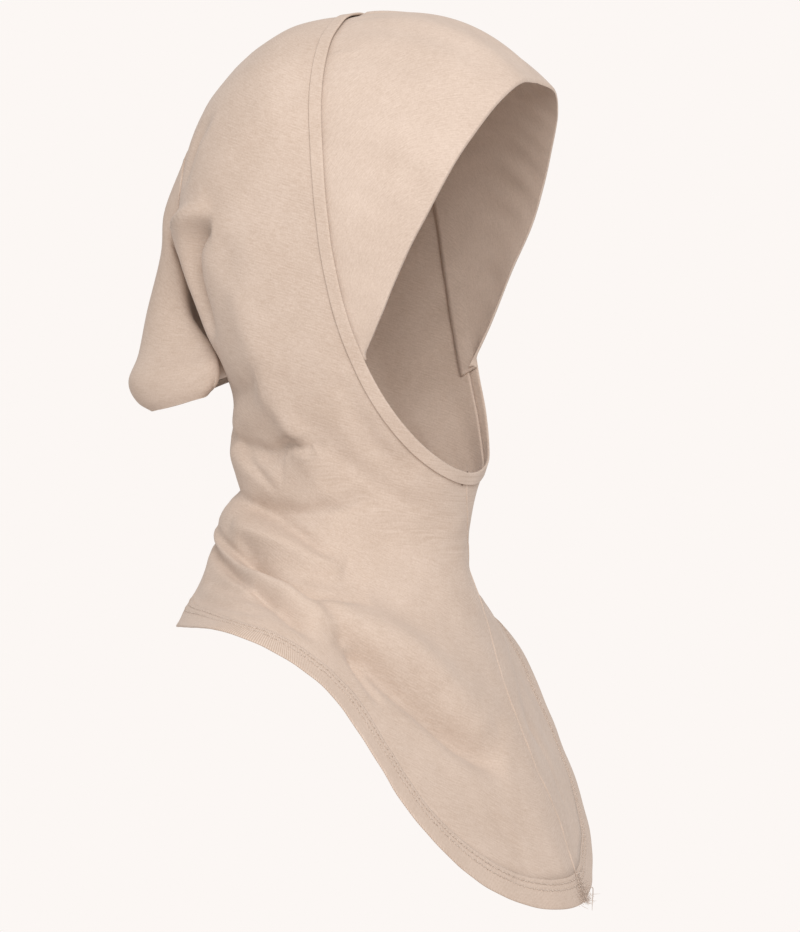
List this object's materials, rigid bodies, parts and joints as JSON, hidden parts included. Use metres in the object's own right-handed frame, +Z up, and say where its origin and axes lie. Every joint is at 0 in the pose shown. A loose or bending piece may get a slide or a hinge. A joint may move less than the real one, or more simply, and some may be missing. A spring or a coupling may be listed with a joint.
{
  "type": "ninja underscarf",
  "caption": "Full-coverage knit underscarf hood with a face opening, doubled forehead band, hanging hair pouch at the back of the head and a rounded shoulder cape with a bib.",
  "frame": {"origin": "crown seat: the point where the top of a head touches the inside of the cloth", "axes": "+Z up, the wearer faces -Y, the wearer's right is -X; +Z is the longest extent"},
  "size_m": [0.2796, 0.2237, 0.4269],
  "materials": {
    "hood_jersey": "matte single jersey knit, beige melange",
    "band_jersey": "matte doubled jersey knit, beige melange",
    "pouch_jersey": "matte single jersey knit, beige melange",
    "hem_jersey": "turned and topstitched jersey hem"
  },
  "bodies": {
    "root": {"hood": "hood_jersey", "forehead_band": "band_jersey", "hair_pouch": "pouch_jersey", "face_hem": "hem_jersey", "bottom_hem": "hem_jersey"}
  },
  "joints": []
}
